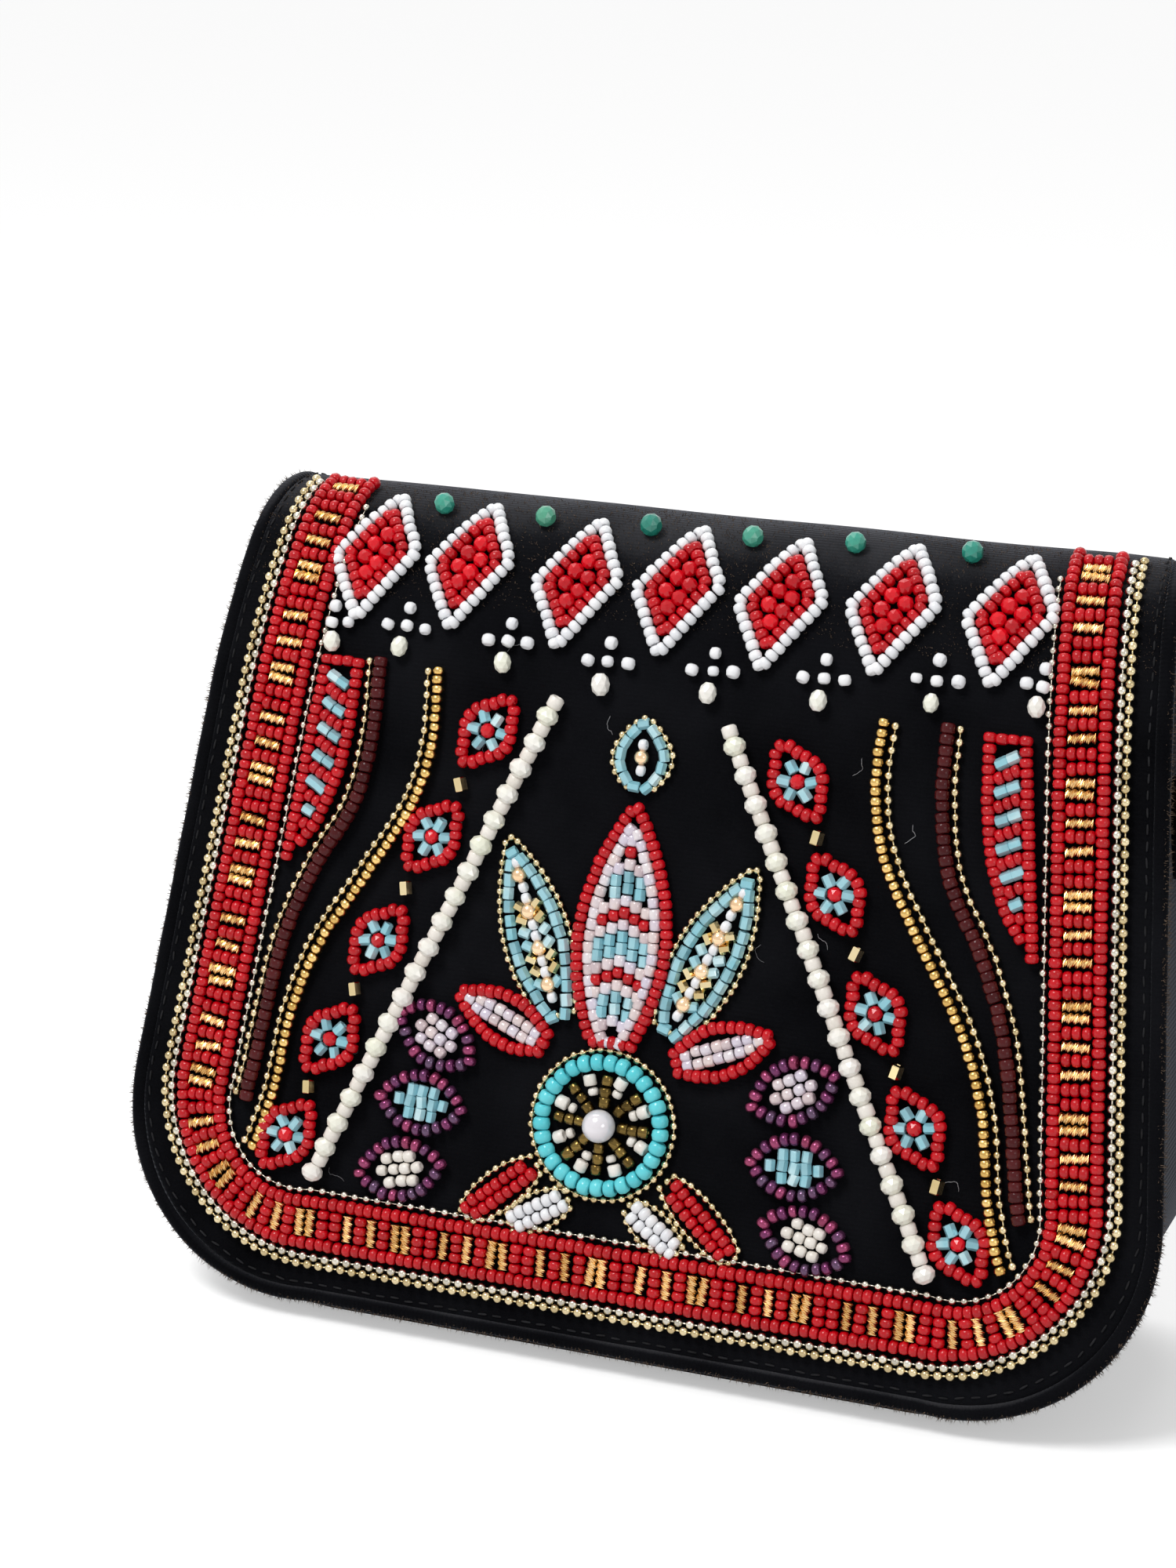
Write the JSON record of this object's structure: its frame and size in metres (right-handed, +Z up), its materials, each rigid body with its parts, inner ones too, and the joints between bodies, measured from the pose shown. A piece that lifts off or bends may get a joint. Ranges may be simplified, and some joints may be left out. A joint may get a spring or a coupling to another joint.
{
  "type": "chain bag",
  "caption": "Small black velvet evening bag: a stiff hinged flap covered in beadwork wraps over a lined body that widens to its base, with side rings for a chain.",
  "frame": {"origin": "centre of the base, on the surface that the bag stands on", "axes": "+X along the width, to the right seen from the front; +Y from the front to the back; +Z up"},
  "size_m": [0.176, 0.0607, 0.1348],
  "materials": {
    "velvet": "black cotton velvet with a fine horizontal rib, laid over board",
    "lining": "plain woven black lining",
    "snap_metal": "plated magnetic snap",
    "ring_metal": "polished gold-coloured wire",
    "gold_chain": "polished gold ball chain",
    "pale_chain": "polished pale gold ball chain",
    "red_bead": "opaque glossy red glass seed and faceted beads",
    "white_bead": "opaque glossy white glass seed beads",
    "maroon_bead": "opaque glossy dark maroon glass seed beads",
    "gold_bead": "metallic gold seed beads and twisted gold bars",
    "cream_bead": "faceted cream glass rondelles and ivory cylinders",
    "turquoise_bead": "opaque turquoise glass beads",
    "aqua_bugle": "lustre turquoise cut glass tubes",
    "lilac_bead": "translucent lilac cut glass beads",
    "plum_bead": "iridescent plum glass seed beads",
    "bronze_bead": "metallic bronze glass seed beads",
    "pearl": "glossy imitation pearl",
    "green_bead": "faceted green stone beads",
    "ivory_bead": "glossy ivory glass seed beads"
  },
  "bodies": {
    "bag_body": {"front_panel": "velvet", "back_panel": "velvet", "base_panel": "velvet", "gusset_left": "velvet", "gusset_right": "velvet", "lining_bag": "lining", "slip_pocket": "lining", "snap_socket": "snap_metal", "strap_tab_left": "velvet", "strap_tab_right": "velvet"},
    "flap": {"flap_cover": "velvet", "flap_welt": "velvet", "flap_lining": "lining", "snap_stud": "snap_metal", "border_chain_outer": "gold_chain", "border_chain_inner": "gold_chain", "border_chain_second": "pale_chain", "border_bars": "red_bead", "border_rail_inner": "red_bead", "border_rail_outer": "red_bead", "garland_left": "red_bead", "garland_right": "red_bead", "wing_left": "red_bead", "wing_right": "red_bead", "leaf_red_left": "red_bead", "leaf_red_right": "red_bead", "diamond_1": "red_bead", "diamond_2": "red_bead", "diamond_3": "red_bead", "diamond_4": "red_bead", "diamond_5": "red_bead", "diamond_6": "red_bead", "diamond_7": "red_bead", "leaf_white_left": "white_bead", "leaf_white_right": "white_bead", "stripe_maroon_left": "maroon_bead", "stripe_maroon_right": "maroon_bead", "stripe_gold_left": "gold_bead", "stripe_gold_right": "gold_bead", "rondelle_string_left": "cream_bead", "rondelle_string_right": "cream_bead", "wheel_ring": "turquoise_bead", "lotus_petal_upper_left": "aqua_bugle", "lotus_petal_upper_right": "aqua_bugle", "lotus_finial": "aqua_bugle", "lotus_petal_middle": "lilac_bead", "lotus_petal_lower_left": "lilac_bead", "lotus_petal_lower_right": "lilac_bead", "almond_left_1": "plum_bead", "almond_left_2": "plum_bead", "almond_left_3": "plum_bead", "almond_right_1": "plum_bead", "almond_right_2": "plum_bead", "almond_right_3": "plum_bead", "wheel_spokes": "bronze_bead", "wheel_pearl": "pearl"},
    "ring_left": {"strap_ring_left": "ring_metal"},
    "ring_right": {"strap_ring_right": "ring_metal"}
  },
  "joints": [
    {"name": "flap_hinge", "type": "hinge", "parent": "bag_body", "child": "flap", "pos_m": [0, 0.02693, 0.11661], "axis": [-1, 0, 0], "range_deg": [0, 170]},
    {"name": "ring_left_hinge", "type": "hinge", "parent": "bag_body", "child": "ring_left", "pos_m": [-0.08049, 0.01222, 0.09829], "axis": [0, 1, 0], "range_deg": [0, 165]},
    {"name": "ring_right_hinge", "type": "hinge", "parent": "bag_body", "child": "ring_right", "pos_m": [0.08049, 0.01222, 0.09829], "axis": [0, -1, 0], "range_deg": [0, 165]}
  ]
}
